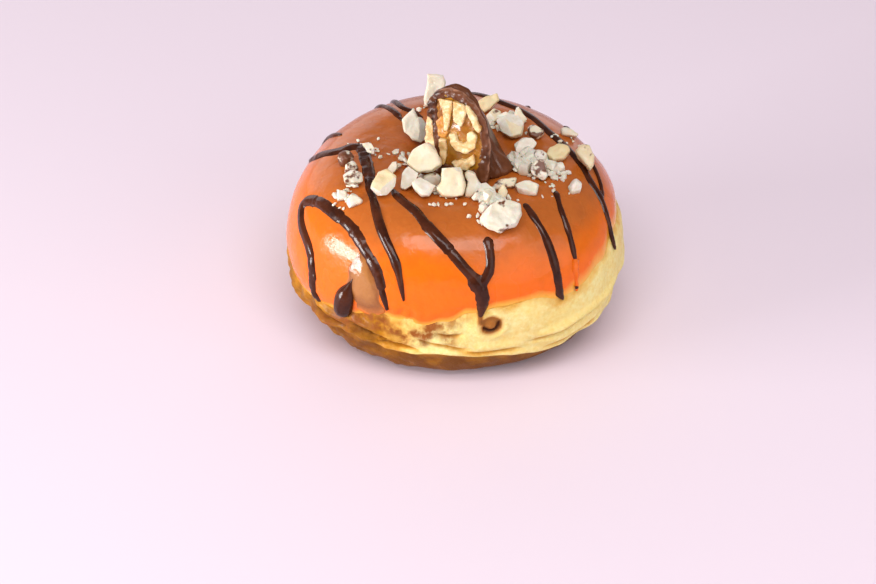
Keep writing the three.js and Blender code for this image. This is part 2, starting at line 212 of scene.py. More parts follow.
def dough_spot(angle, k):
    """Where a corner of the dough is, how browned or darkened in its folds as painted shade, how
    soaked and how chocolatey.
    """
    turn, seam, edge = dough_turns[k], seam_turn(angle), icing_edge(angle)
    leftward = -angle if angle < 60 else 360 - angle
    lift = -DOUGH_SUNK
    if -90 < turn < 90:
        lift += DOUGH_SWELLS * (1 - smoothstep(turn, edge - 4, edge + 8))
    at = skin(angle, turn)
    band = smoothstep(-turn, -30, -8) * smoothstep(turn, -84, -66)
    lumps = 0.6 * wave(at, 26, 2) + 0.36 * wave(at, 9, 5) + 0.16 * wave(at, 3.5, 7)
    # The pale band rolls over into a lip above the browned base, which is set back.
    crease = math.exp(-((turn - seam) / 1.7) ** 2) * (1.1 + 1.1 * wave(at, 11, 3))
    lip = math.exp(-((turn - seam - 4.5) / 3.0) ** 2) * (0.9 + 0.7 * wave(at, 6, 4))
    base = 1.2 * smoothstep(seam - turn, -0.5, 1.5) * (1 - smoothstep(seam - turn, 5, 34))
    fold = folded(angle, turn, at)
    # The left side is wrinkled.
    left = smoothstep(leftward, 96, 125) * (1 - smoothstep(leftward, 165, 215))
    rough = left * (0.7 * wave(at, 5, 21) + 0.45 * wave(at, 2.2, 22))
    # A burst blister in the band: a knob in a crater that chocolate ran round and into.
    hole = at - CRATER
    far, side = hole.length / MM, hole.normalized().dot(Vector((0.35, 0, -0.94)))
    trench = (0.25 + 0.75 * smoothstep(side, -0.5, 0.5)) * math.exp(-((far - 2.3) / 0.8) ** 2)
    pit = 1.4 * trench - 0.5 * math.exp(-((far - 4.0) / 1.0) ** 2)
    ragged = far + 0.9 * wave(at, 2.5, 15)
    choc = 0.5 * (1 - smoothstep(ragged, 2.2, 3.6)) + 0.6 * trench
    trail = abs(hole.x / MM + 2.4 + 0.25 * hole.z / MM + 0.6 * wave(at, 3, 16))
    trail = (1 - smoothstep(trail, 0.2, 1.2)) * (1 - smoothstep(far, 5, 8))
    choc = max(choc, 0.7 * trail * smoothstep(hole.z / MM, -1, 1))
    # Browned under the seam, a little under the icing and on the left; darkened in the folds as
    # painted shade.
    bake_and_fold_shade = smoothstep(-turn, -seam - 4, -seam + 8) if turn > -90 else 1.0
    bake_and_fold_shade = max(bake_and_fold_shade, 0.85 * left * smoothstep(-turn, -edge - 26, -edge + 6),
               0.3 * (1 - smoothstep(edge - turn, -2, 7)), (0.45 + 0.6 * left) * fold * band)
    # Icing soaked in along its edge, left of the front.
    soak = 1 - smoothstep(abs(turn - edge + 5 + wave(at, 4, 31) * 7 + wave(at, 10, 32) * 9), 3, 10)
    soak *= smoothstep(leftward, 80, 98) * (1 - smoothstep(leftward, 132, 155))
    lift += band * (lumps + lip + rough - crease - fold - base - pit)
    return skin(angle, turn, lift), bake_and_fold_shade, soak, min(1.0, choc)


dough_mesh = spun_ring("fried_dough", DOUGH_STEPS, DOUGH_CORNERS, dough_spot,
                       "bake_and_fold_shade", "soak", "choc")


def placed(name, data):
    """An object in the scene, at the origin."""
    item = bpy.data.objects.new(name, data)
    bpy.context.scene.collection.objects.link(item)
    return item


def new_piece(name, mesh, finish, slot, *stands_for, flat=False):
    """A piece of the doughnut: it rides on it and stands for its solids."""
    piece = placed(name, mesh)
    mesh.materials.clear()
    mesh.materials.append(finish.material)
    if not flat:
        mesh.shade_smooth()
    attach(piece, "root")
    if stands_for:
        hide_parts(*stands_for)
    return piece


def grain_group():
    """Cloudy food grain as a mask: noise of a size in millimetres, cut to a range."""
    group = bpy.data.node_groups.new("grain", "ShaderNodeTree")
    for name, value in (("Size", 5.0), ("Detail", 3.0), ("Roughness", 0.55), ("Low", 0.3),
                        ("High", 0.7)):
        group.interface.new_socket(name, in_out="INPUT",
                                   socket_type="NodeSocketFloat").default_value = value
    group.interface.new_socket("Mask", in_out="OUTPUT", socket_type="NodeSocketFloat")
    given = group.nodes.new("NodeGroupInput").outputs
    place = group.nodes.new("ShaderNodeTexCoord").outputs["Object"]
    scale = group.nodes.new("ShaderNodeMath")
    scale.operation = "DIVIDE"
    scale.inputs[0].default_value = 1 / MM
    cloud = group.nodes.new("ShaderNodeTexNoise")
    cut = group.nodes.new("ShaderNodeMapRange")
    result = group.nodes.new("NodeGroupOutput").inputs["Mask"]
    for source, socket in ((given["Size"], scale.inputs[1]),
                           (scale.outputs[0], cloud.inputs["Scale"]),
                           (place, cloud.inputs["Vector"]),
                           (given["Detail"], cloud.inputs["Detail"]),
                           (given["Roughness"], cloud.inputs["Roughness"]),
                           (cloud.outputs["Fac"], cut.inputs["Value"]),
                           (given["Low"], cut.inputs["From Min"]),
                           (given["High"], cut.inputs["From Max"]), (cut.outputs[0], result)):
        group.links.new(source, socket)
    return group


GRAIN = grain_group()


class Finish:
    """A food's finish, and short ways to add and join its nodes."""

    def __init__(self, name, **settings):
        self.material = bpy.data.materials.new(name)
        self.material.use_nodes = True
        self.tree = self.material.node_tree
        self.shader = self.tree.nodes["Principled BSDF"]
        for socket, value in settings.items():
            self.shader.inputs[socket.replace("_", " ")].default_value = value

    def put(self, socket, value):
        """Joins a node's output to a socket, or sets a plain value on it."""
        if isinstance(value, bpy.types.NodeSocket):
            self.tree.links.new(value, socket)
        else:
            socket.default_value = value

    def node(self, kind, inputs=(), **settings):
        node = self.tree.nodes.new(kind)
        for key, value in settings.items():
            setattr(node, key, value)
        for socket, value in dict(inputs).items():
            self.put(node.inputs[socket], value)
        return node

    def grain(self, size, low=0.3, high=0.7, detail=3.0, roughness=0.55):
        return self.node("ShaderNodeGroup", {
            "Size": size, "Low": low, "High": high, "Detail": detail, "Roughness": roughness},
            node_tree=GRAIN).outputs["Mask"]

    def spread(self, name):
        """How much of something the mesh itself says there is, from its attribute."""
        return self.node("ShaderNodeAttribute", attribute_name=name).outputs["Fac"]

    def height(self):
        place = self.node("ShaderNodeTexCoord").outputs["Object"]
        return self.node("ShaderNodeSeparateXYZ", {"Vector": place}).outputs["Z"]

    def span(self, value, low, high, out_low=0.0, out_high=1.0):
        return self.node("ShaderNodeMapRange", {
            "Value": value, "From Min": low, "From Max": high, "To Min": out_low,
            "To Max": out_high}).outputs[0]

    def math(self, operation, a, b):
        return self.node("ShaderNodeMath", {0: a, 1: b}, operation=operation).outputs[0]

    def times(self, a, b):
        return self.math("MULTIPLY", a, b)

    def mix(self, mask, a, b, blend="MIX"):
        a, b = [(*c, 1.0) if isinstance(c, tuple) else c for c in (a, b)]
        return self.node("ShaderNodeMix", {0: mask, 6: a, 7: b}, data_type="RGBA",
                         blend_type=blend).outputs[2]

    def ramp(self, value, *stops):
        """A colour that runs through (position, colour) stops."""
        node = self.node("ShaderNodeValToRGB", {"Fac": value})
        marks = node.color_ramp.elements
        while len(marks) < len(stops):
            marks.new(0.5)
        for mark, (position, colour) in zip(marks, stops):
            mark.position, mark.color = position, (*colour, 1.0)
        return node.outputs["Color"]

    def bump(self, height, depth, strength=1.0, under=None):
        """Relief of a depth in millimetres, over the relief under it."""
        node = self.node("ShaderNodeBump", {"Height": height, "Distance": depth * MM,
                                            "Strength": strength})
        if under:
            self.put(node.inputs["Normal"], under)
        return node.outputs["Normal"]

    def use(self, **inputs):
        for socket, value in inputs.items():
            self.put(self.shader.inputs[socket.replace("_", " ")], value)
        return self


PALE, TAN, GOLDEN = (0.86, 0.75, 0.35), (0.74, 0.46, 0.12), (0.48, 0.21, 0.010)
BROWN, SOAKED = (0.18, 0.062, 0.002), (0.27, 0.085, 0.016)
PATCHY, SPECKLED = (1.0, 0.91, 0.74), (0.93, 0.80, 0.52)
FAINT_TRAIL, TRAIL, POOLED = (0.66, 0.34, 0.09), (0.44, 0.17, 0.035), (0.07, 0.018, 0.004)
crust = Finish("fried_dough", Roughness=0.6, IOR=1.42, Specular_IOR_Level=0.14,
               Subsurface_Weight=0.1, Subsurface_Scale=0.002, Coat_Weight=0.1, Coat_Roughness=0.25)
# The browning mask also carries painted shade in the folds.
baked_and_shaded = crust.math("ADD", crust.spread("bake_and_fold_shade"), crust.grain(6, 0.3, 0.7, 5))
baked_and_shaded = crust.math("SUBTRACT", baked_and_shaded, 0.5)
baked_and_shaded = crust.math("ADD", crust.times(baked_and_shaded, 0.35), crust.times(crust.spread("bake_and_fold_shade"), 0.65))
crust_colour = crust.ramp(baked_and_shaded, (0.06, PALE), (0.36, TAN), (0.62, GOLDEN), (1.0, BROWN))
stained = crust.times(crust.spread("soak"), crust.grain(3.0, 0.36, 0.56, 6))
crust_colour = crust.mix(stained, crust_colour, SOAKED)
crust_colour = crust.mix(crust.grain(9, 0.35, 0.7), crust_colour, PATCHY, "MULTIPLY")
ran_down = crust.ramp(crust.spread("choc"), (0.0, FAINT_TRAIL), (0.45, TRAIL), (0.9, POOLED))
crust_colour = crust.mix(crust.span(crust.spread("choc"), 0.0, 0.5), crust_colour, ran_down)
crust_colour = crust.mix(crust.grain(1.1, 0.35, 0.8, 5), crust_colour, SPECKLED, "MULTIPLY")
crust.use(Base_Color=crust_colour, Roughness=crust.span(crust.grain(5), 0, 1, 0.42, 0.68),
          Normal=crust.bump(crust.grain(0.9, 0.2, 0.8, 6, 0.65), 0.16, 0.8,
                            crust.bump(crust.grain(4.0, 0.2, 0.8, 4), 0.6, 0.6)))
new_piece("fried_dough_ring", dough_mesh, crust, "dough", "dough")

# ---------------------------------------------
# Caramel icing. The ring was dipped in warm caramel icing, which set in a
# glossy skin about a millimetre thick that thins out to nothing at its edge.
# ---------------------------------------------
ICING_STEPS, ICING_CORNERS = 340, 110
ICING_HALF = ICING_CORNERS // 2
INNER_EDGE = 142
icing_turns = even_turns(5, INNER_EDGE, ICING_HALF)
# How far its underside and its thin edge lie in the skin, and how thick it is at most.
ICING_UNDER, ICING_THIN, ICING_THICK = 1.25, 0.85, 0.95
RIPPLE = skin(-107, 6)


def icing_spot(angle, k):
    """Where a corner of the icing is, over the top or back under it, and how thin."""
    upper = k < ICING_HALF
    i = k if upper else ICING_CORNERS - 1 - k
    edge = icing_edge(angle)
    turn = icing_turns[i] + (edge - icing_turns[0]) * (1 - smoothstep(i / ICING_HALF, 0, 0.45))
    at = skin(angle, turn)
    thick = (min(1.0, max(0.0, turn - edge) / 10) ** 0.7
             * (1 - 0.8 * smoothstep(turn, INNER_EDGE - 10, INNER_EDGE)))
    lumps = 0.32 * wave(at, 22, 9) + 0.2 * wave(at, 9, 12)
    # A low ripple where the icing gathered at its edge.
    far = (at - RIPPLE).length / MM
    lumps += 0.7 * math.cos(1.7 * far) * math.exp(-(far / 3.6) ** 2)
    lift = -ICING_THIN + ICING_THICK * thick + lumps * thick if upper else -ICING_UNDER
    fade = 9 + 10 * smoothstep(angle, -72, -35) * (1 - smoothstep(angle, 20, 60))
    return skin(angle, turn, lift), 1 - smoothstep(turn - edge, 1, fade)


icing_mesh = spun_ring("icing", ICING_STEPS, ICING_CORNERS, icing_spot, "thin")

# The icing's brown on top is painted shade and reflection, set by height.
CORAL, ORANGE, TOP_SHADE_BROWN = (0.86, 0.135, 0.0), (0.70, 0.135, 0.003), (0.46, 0.115, 0.016)
YELLOWED, CLOUDED = (0.90, 0.47, 0.06), (0.86, 0.82, 0.8)
glaze = Finish("caramel_icing", Roughness=0.2, IOR=1.45, Specular_IOR_Level=0.28,
               Subsurface_Weight=0.12, Subsurface_Scale=0.0015, Coat_Weight=0.2,
               Coat_Roughness=0.06)
glaze.use(Subsurface_Radius=(1.0, 0.45, 0.15))
# Coral round the shoulder and browner on top, painted by height: painted reflection and shade, the
# top dulled to brown and the low shoulder left bright coral.
top = glaze.math("ADD", glaze.span(glaze.height(), 0.033, 0.049),
                 glaze.times(glaze.grain(14, 0.3, 0.7, 4), 0.3))
glaze_colour = glaze.ramp(top, (0.1, CORAL), (0.6, ORANGE), (1.0, TOP_SHADE_BROWN))
faded = glaze.math("ADD", glaze.spread("thin"), glaze.times(glaze.grain(5, 0.3, 0.7, 5), 0.25))
glaze_colour = glaze.mix(glaze.span(faded, 0.55, 1.2), glaze_colour, YELLOWED)
glaze_colour = glaze.mix(glaze.grain(2.5, 0.45, 0.9, 5), glaze_colour, CLOUDED, "MULTIPLY")
glaze.use(Base_Color=glaze_colour, Roughness=glaze.span(glaze.grain(16), 0, 1, 0.16, 0.34),
          Normal=glaze.bump(glaze.grain(6, 0.2, 0.8), 0.5, 0.5))
new_piece("caramel_icing_coat", icing_mesh, glaze, "caramel_icing", "caramel_icing")

# ---------------------------------------------
# Chocolate drizzle. Dark chocolate trailed to and fro over the set icing; the
# strands round up as they cool, and run together where they meet.
# ---------------------------------------------
# Each strand: how far it reaches to either side, then its (angle, turn) points.
STRANDS = {
    "left_loop": (1.75, [(-143, -8), (-146, 0), (-147, 11), (-151, 23), (-161, 31), (-166, 40),
        (-158, 51), (-146, 54), (-136, 52), (-128, 44), (-120, 31), (-116, 17),
        (-114, 7)]),
    "shoulder_left": (1.25, [(-176, 90), (-159, 89), (-149, 85), (-133, 74), (-119, 52), (-112, 36),
        (-108, 15)]),
    "shoulder_pool": (2.0, [(-193, 41), (-185, 70), (-188, 81), (-187, 87), (-174, 89), (-159, 88),
        (-147, 83)]),
    "right_tip": (0.5, [(-45.2, 15), (-45.5, 11)]),
    "front_long": (1.6, [(-135, 90), (-114, 82), (-103, 69), (-94, 55), (-87, 41), (-81, 28),
        (-80, 17), (-81, 7)]),
    "front_pool": (2.1, [(-83.5, 33), (-81.5, 27), (-80, 21), (-80, 15)]),
    "front_short": (1.35, [(-76, 61), (-76, 48), (-77, 37), (-81, 26)]),
    "front_right": (1.15, [(-51, 80), (-52, 68), (-52, 52), (-52, 34), (-52, 15), (-51, 8)]),
    "right": (0.9, [(-31, 76), (-38, 64), (-42, 46), (-44, 27)]),
    "far_right": (1.15, [(92, 30), (88, 48), (80, 64), (66, 76), (48, 79), (26, 81), (8, 75),
        (-9, 62), (-16, 47), (-21, 30), (-22, 15)]),
    "far_right_branch": (0.6, [(4, 59), (-5, 53), (-15, 46)]),
    "back_left_a": (1.0, [(114, 30), (117, 48), (120, 66), (122, 84), (117, 91)]),
    "back_left_b": (1.0, [(124, 28), (125, 48), (127, 64), (129, 85), (132, 91)]),
    "back_a": (1.0, [(63, 22), (61, 40), (55, 58)]),
    "back_b": (1.0, [(37, 20), (36, 40), (32, 60)]),
    "back_c": (1.0, [(150, 24), (153, 46), (159, 68)]),
}


def through(points, share):
    """A point at a share of the way along a smooth line through the points."""
    k = min(share, 0.9999) * (len(points) - 1)
    i = int(k)
    p = [Vector(points[min(max(j, 0), len(points) - 1)]) for j in (i - 1, i, i + 1, i + 2)]
    t = k - i
    return 0.5 * (2 * p[1] + (p[2] - p[0]) * t + (2 * p[0] - 5 * p[1] + 4 * p[2] - p[3]) * t ** 2
                  + (3 * p[1] - p[0] - 3 * p[2] + p[3]) * t ** 3)


def reworked(data, *modifiers):
    """The mesh that a mesh or curve makes after modifiers, each a (kind, settings) pair."""
    holder = placed("work", data)
    for kind, settings in modifiers:
        modifier = holder.modifiers.new(kind.lower(), kind)
        for key, value in settings.items():
            setattr(modifier, key, value)
    made = bpy.data.meshes.new_from_object(
        holder.evaluated_get(bpy.context.evaluated_depsgraph_get()))
    bpy.data.objects.remove(holder)
    return made


def poured(name, strands):
    """Round cords laid along lines of (place, radius), as one mesh."""
    curve = bpy.data.curves.new(name, "CURVE")
    curve.dimensions, curve.bevel_depth, curve.bevel_resolution = "3D", 1.0, 3
    curve.use_fill_caps = True
    for line in strands:
        spline = curve.splines.new("POLY")
        spline.points.add(len(line) - 1)
        for point, (place, radius) in zip(spline.points, line):
            point.co, point.radius = (*place, 1.0), radius * MM
    return reworked(curve)


def softened(mesh, voxel, rounds):
    """The mesh as one skin, rebuilt in voxels of a size in millimetres and smoothed."""
    return reworked(mesh, ("REMESH", {"mode": "VOXEL", "voxel_size": voxel * MM}),
                    ("SMOOTH", {"factor": 0.5, "iterations": rounds}))


def pushed(mesh, push):
    """The mesh with each corner moved out by push(its place) millimetres."""
    moves = [v.normal * (push(v.co) * MM) for v in mesh.vertices]
    for v, move in zip(mesh.vertices, moves):
        v.co += move
    mesh.update()
    return mesh


def bead_at(angle, turn, half_width, height):
    """Where a cord's middle lies, and its radius, to stand so wide and so high."""
    radius = (half_width ** 2 + height ** 2) / (2 * height)
    return skin(angle, turn, 0.1 + height - radius), radius


STRAND_HEIGHT, STRAND_SPREAD, STEPS_EACH = 0.78, 1.12, 18
lines = []
for seed, (width, points) in enumerate(STRANDS.values()):
    steps = STEPS_EACH * (len(points) - 1)
    line = []
    for i in range(steps + 1):
        share = i / steps
        angle, turn = through(points, share)
        swell = 1 + 0.3 * noise.noise(Vector((share * steps / 9, seed * 3.1, 0)))
        end = min(1.0, 0.4 + 9 * share, 0.3 + 4.5 * (1 - share))
        line.append(bead_at(angle, turn, STRAND_SPREAD * width * swell * end,
                            STRAND_HEIGHT * (0.6 + 0.4 * end)))
    lines.append(line)
# A drop that fell beside the loop and ran down to the edge, fullest near its foot.
DROP, DROP_STEPS, DROP_FULL = [(-127.5, 22), (-129, 15), (-130.5, 6), (-132, -7)], 30, 0.72
drop = []
for i in range(DROP_STEPS + 1):
    share = i / DROP_STEPS
    rounded = math.sqrt(1 - max(0.0, (share - DROP_FULL) / 0.28) ** 2)
    full = smoothstep(share, 0.1, 0.68) * rounded
    drop.append(bead_at(*through(DROP, share), 0.4 + 2.7 * full, 0.6 + 2.2 * full))
lines.append(drop)
drizzle_mesh = softened(poured("drizzle", lines), 0.31, 9)

BLACKISH, DARK_BROWN = (0.022, 0.004, 0.001), (0.075, 0.017, 0.005)
chocolate = Finish("dark_chocolate", Roughness=0.3, IOR=1.46, Specular_IOR_Level=0.12,
                   Coat_Weight=0.3, Coat_Roughness=0.05)
chocolate.use(
    Base_Color=chocolate.ramp(chocolate.grain(5, 0.3, 0.7, 4), (0.0, BLACKISH), (1.0, DARK_BROWN)),
    Roughness=chocolate.span(chocolate.grain(3), 0, 1, 0.14, 0.34),
    Normal=chocolate.bump(chocolate.grain(2.2, 0.2, 0.8), 0.25, 0.5))
new_piece("chocolate_drizzle", drizzle_mesh, chocolate, "dark_chocolate",
          *[n for n in nodes if n.startswith("drizzle_")])

# A clear bead of icing ran on down from the end of one strand, and narrows as it goes.
TRICKLE, TRICKLE_STEPS = [(-43.5, 30), (-44.5, 24), (-45, 18), (-45.5, 10)], 12
trickle = []
for i in range(TRICKLE_STEPS + 1):
    share = i / TRICKLE_STEPS
    trickle.append(bead_at(*through(TRICKLE, share), 1.45 - 1.1 * share ** 1.3, 1.1 - 0.5 * share))
trickle_mesh = softened(poured("trickle", [trickle]), 0.2, 4)
pushed(trickle_mesh, lambda p: 0.4 * wave(p, 1.8, 3))
new_piece("icing_trickle", trickle_mesh, glaze, "caramel_icing")


def smear_spot(x, y, lift):
    """A place in the thin brown film between the loop and the fallen drop."""
    ragged = 1 + 0.3 * noise.noise(Vector((x, y, 0)) * 2.5)
    angle = -124 - 3 * y + 10 * x * (0.72 - 0.42 * y) * ragged
    return skin(angle, 23 + 22 * y, lift)


bm = bmesh.new()
film_layer = bm.verts.layers.float.new("film")
bmesh.ops.create_icosphere(bm, subdivisions=5, radius=1.0)
for v in bm.verts:
    x, y, z = v.co
    middle = 1 - x * x - y * y
    v.co = smear_spot(x, y, -0.06 + 0.8 * middle if z > 0 else -0.5)
    v[film_layer] = middle
if bm.calc_volume(signed=True) < 0:
    bmesh.ops.reverse_faces(bm, faces=bm.faces[:])
smear_mesh = made_mesh("smear", bm)

FILM_RIM, FILM_THIN, FILM_DARK, FILM_MIDDLE = ((0.80, 0.16, 0.002), (0.42, 0.12, 0.018),
                                               (0.24, 0.075, 0.016), (0.38, 0.15, 0.040))
film = Finish("thin_chocolate", Roughness=0.2, IOR=1.5, Specular_IOR_Level=0.25, Coat_Weight=0.4,
              Coat_Roughness=0.05)
depth = film.math("ADD", film.spread("film"), film.times(film.grain(4, 0.3, 0.7, 4), 0.3))
film.use(Base_Color=film.ramp(depth, (0.1, FILM_RIM), (0.34, FILM_THIN), (0.6, FILM_DARK),
                              (1.0, FILM_MIDDLE)),
         Normal=film.bump(film.grain(3.5, 0.2, 0.8), 0.6, 0.6))
new_piece("chocolate_smear", smear_mesh, film, "dark_chocolate")


# ---------------------------------------------
# Chopped nuts. Blanched kernels broken into halves, slabs and chips: waxy and
# rounded outside, flat and chalky where they broke. They sit in the icing.
# ---------------------------------------------
def merged(node):
    """A closed copy of a solid's mesh."""
    bm = bmesh.new()
    bm.from_mesh(nodes[node].data)
    bmesh.ops.remove_doubles(bm, verts=bm.verts[:], dist=1e-6)
    return made_mesh(node, bm)


def swept(rings):
    """A closed body drawn out from its first ring of places through the others."""
    bm = bmesh.new()
    face = bm.faces.new([bm.verts.new(p) for p in rings[0]])
    for near, far in zip(rings, rings[1:]):
        made = bmesh.ops.extrude_face_region(bm, geom=[face])["geom"]
        corners = [g for g in made if isinstance(g, bmesh.types.BMVert)]
        face = next(g for g in made if isinstance(g, bmesh.types.BMFace)
                    and all(v in corners for v in g.verts))
        for vert in corners:
            vert.co = far[min(range(len(near)), key=lambda j: (near[j] - vert.co).length)]
    return made_mesh("swept", bm, turn_out=True)


# A slice from front to back: shares of its thickness, and of its outline there.
SLICE = [(0.5, 0.94), (0.1, 1.02), (-0.7, 0.72)]


def cut_nut(node, outline, thick, facing):
    """A slice of kernel with an outline, standing where its solid does, its face
    turned up from the front by some degrees."""
    low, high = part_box(node)
    middle, tilt = (low + high) / 2, math.radians(facing)
    up = Vector((0, math.sin(tilt), math.cos(tilt)))
    out = Vector((0, -math.cos(tilt), math.sin(tilt)))
    return swept([[middle + (Vector((x, 0, 0)) * k + up * y * k + out * (depth * thick)) * MM
                   for x, y in outline] for depth, k in SLICE])


def on_icing(x, y):
    """The icing's angle and turn under a place in plan, from the ring's middle."""
    angle, r = math.degrees(math.atan2(y, x)), math.hypot(x, y)
    if r > CREST_RADIUS:
        c = min(1.0, (r - CREST_RADIUS) / (reach(angle) - CREST_RADIUS)) ** (1 / SHOULDER)
    else:
        c = -min(0.6, ((CREST_RADIUS - r) / (CREST_RADIUS - HOLE_RADIUS)) ** (1 / THROAT))
    return angle, math.degrees(math.acos(c))


def broken_nut(node, outline, thick, facing, smoothing, breaks, wax, stain):
    """A kernel with its skin worn soft, then broken along some flat planes."""
    rng = random.Random(node)
    seed = rng.uniform(0, 50)
    mesh = cut_nut(node, outline, thick, facing) if outline else merged(node)
    mesh = softened(mesh, 0.24, smoothing)
    swell = 0.15 if outline else 0.45
    pushed(mesh, lambda p: swell + 0.35 * wave(p, 3.0, seed) + 0.1 * wave(p, 1.1, seed))
    corners = [v.co for v in mesh.vertices]
    middle = sum(corners, Vector()) / len(corners)
    bm = bmesh.new()
    bm.from_mesh(mesh)
    layer = {name: bm.faces.layers.float.new(name) for name in ("fresh", "wax", "stain")}
    for _ in range(breaks):
        away = Vector((rng.uniform(-1, 1), rng.uniform(-1.2, 0.8), rng.uniform(-0.3, 1)))
        away.normalize()
        out = max((p - middle).dot(away) for p in corners)
        plane = middle + away * out * rng.uniform(0.6, 0.88)
        made = bmesh.ops.bisect_plane(bm, geom=bm.verts[:] + bm.edges[:] + bm.faces[:], dist=1e-8,
                                      plane_co=plane, plane_no=away, clear_outer=True)
        rim = [e for e in made["geom_cut"] if isinstance(e, bmesh.types.BMEdge)]
        for face in bmesh.ops.holes_fill(bm, edges=rim)["faces"]:
            face[layer["fresh"]] = 1.0
    for face in bm.faces:
        face[layer["wax"]], face[layer["stain"]] = wax, stain
    sunk = bm.verts.layers.float.new("sunk")
    for v in bm.verts:
        place = (v.co - RING_CENTRE) / MM
        level = surface(*on_icing(place.x, place.y))[0].z
        v[sunk] = 1 - smoothstep((v.co.z - level) / MM, 0.3, 2.4)
    bmesh.ops.remove_doubles(bm, verts=bm.verts[:], dist=2e-6)
    bmesh.ops.recalc_face_normals(bm, faces=bm.faces[:])
    bm.to_mesh(mesh)
    bm.free()
    return reworked(mesh, ("BEVEL", {"width": 0.1 * MM, "segments": 2, "limit_method": "ANGLE",
                                     "angle_limit": math.radians(25)}))


